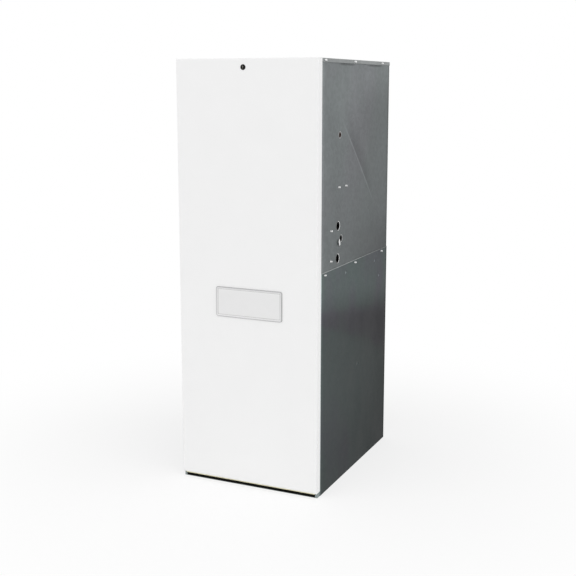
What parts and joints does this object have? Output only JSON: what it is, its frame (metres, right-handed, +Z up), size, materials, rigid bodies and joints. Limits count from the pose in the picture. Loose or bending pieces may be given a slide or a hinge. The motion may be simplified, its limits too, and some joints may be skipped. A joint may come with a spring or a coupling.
{
  "type": "electric furnace",
  "caption": "Tall upright electric furnace cabinet with a plain pull-off white door, galvanised sides, top air filter, blower, heating coils and an open lower bay for a cooling coil.",
  "frame": {"origin": "centre of the footprint at floor level, under the middle of the whole object", "axes": "+Z up, -Y towards the viewer in front of the door, +X to the right when facing the door"},
  "size_m": [0.5128, 0.666, 1.422],
  "materials": {
    "white_paint": "smooth white baked paint, satin",
    "galvanised": "galvanised sheet with faint spangle, dull",
    "galvanised_dark": "galvanised sheet, darker batch, dull",
    "black_paint": "matt black",
    "foam": "pale yellow foam strip",
    "foil_insulation": "foil faced fibre insulation",
    "zinc_hardware": "bright zinc plated",
    "motor_shell": "dark grey enamel",
    "aluminium_can": "drawn aluminium",
    "resistance_wire": "oxidised resistance wire",
    "ceramic": "mica and ceramic, matt",
    "brass": "plain brass",
    "black_plastic": "black moulded plastic",
    "pale_plastic": "off-white moulded plastic",
    "brown_rubber": "brown rubber",
    "card": "brown card",
    "filter_cloth": "pleated polyester filter cloth",
    "plate_rim": "satin silver rim",
    "plate_face": "light grey face, bare"
  },
  "bodies": {
    "cabinet": {"base_pan": "galvanised_dark", "kick_strip": "black_paint", "kick_seal": "foam", "base_rail": "galvanised", "side_lower_right": "galvanised_dark", "side_lower_left": "galvanised_dark", "side_upper_right": "galvanised", "side_upper_left": "galvanised", "back_lower": "galvanised_dark", "back_upper": "galvanised", "top_cover": "galvanised", "front_top_rail": "galvanised", "front_mid_rail": "galvanised", "lower_liner": "foil_insulation", "upper_liner": "foil_insulation", "coil_rails": "galvanised", "blower_deck": "galvanised", "control_floor": "galvanised", "control_wall": "galvanised", "control_cover": "galvanised", "blower_housing": "galvanised", "blower_motor": "motor_shell", "motor_mount": "galvanised", "run_capacitor": "aluminium_can", "capacitor_strap": "galvanised", "heater_rack_1": "galvanised", "heater_rack_2": "galvanised", "heater_rack_3": "galvanised", "heater_coil_1": "resistance_wire", "heater_coil_2": "resistance_wire", "heater_coil_3": "resistance_wire", "heater_cards": "ceramic", "heater_terminals": "brass", "limit_switches": "black_plastic", "breaker_bracket": "galvanised", "breaker_1": "black_plastic", "breaker_2": "black_plastic", "transformer": "motor_shell", "sequencers": "black_plastic", "terminal_strip": "pale_plastic", "thermostat_grommet": "brown_rubber", "knockout_slug": "galvanised", "filter_rack": "galvanised", "side_screws": "zinc_hardware", "back_screws": "zinc_hardware", "latch_strike": "zinc_hardware"},
    "door": {"door_panel": "white_paint", "door_liner": "foil_insulation", "door_tongues": "zinc_hardware", "nameplate_frame": "plate_rim", "nameplate_face": "plate_face", "latch_grommet": "black_plastic"},
    "latch": {"latch_stud": "zinc_hardware"},
    "rotor": {"blower_wheel": "galvanised", "wheel_hub": "zinc_hardware", "motor_shaft": "zinc_hardware"},
    "filter": {"filter_frame": "card", "filter_media": "filter_cloth"},
    "toggle_1": {"breaker_toggle_1": "pale_plastic"},
    "toggle_2": {"breaker_toggle_2": "pale_plastic"}
  },
  "joints": [
    {"name": "door_pull", "type": "slide", "parent": "cabinet", "child": "door", "axis": [0, -1, 0], "range_m": [0, 0.45]},
    {"name": "latch_turn", "type": "hinge", "parent": "door", "child": "latch", "pos_m": [-0.007, -0.33, 1.394], "axis": [0, 1, 0], "range_deg": [0, 90]},
    {"name": "blower_spin", "type": "hinge", "parent": "cabinet", "child": "rotor", "pos_m": [0, 0.073, 1.178], "axis": [1, 0, 0], "continuous": true},
    {"name": "filter_lift", "type": "slide", "parent": "cabinet", "child": "filter", "axis": [0, 0, 1], "range_m": [0, 0.3]},
    {"name": "toggle_1_swing", "type": "hinge", "parent": "cabinet", "child": "toggle_1", "pos_m": [0.105, -0.258, 0.9175], "axis": [1, 0, 0], "range_deg": [0, 50]},
    {"name": "toggle_2_swing", "type": "hinge", "parent": "cabinet", "child": "toggle_2", "pos_m": [0.16, -0.258, 0.9175], "axis": [1, 0, 0], "range_deg": [0, 50]}
  ]
}
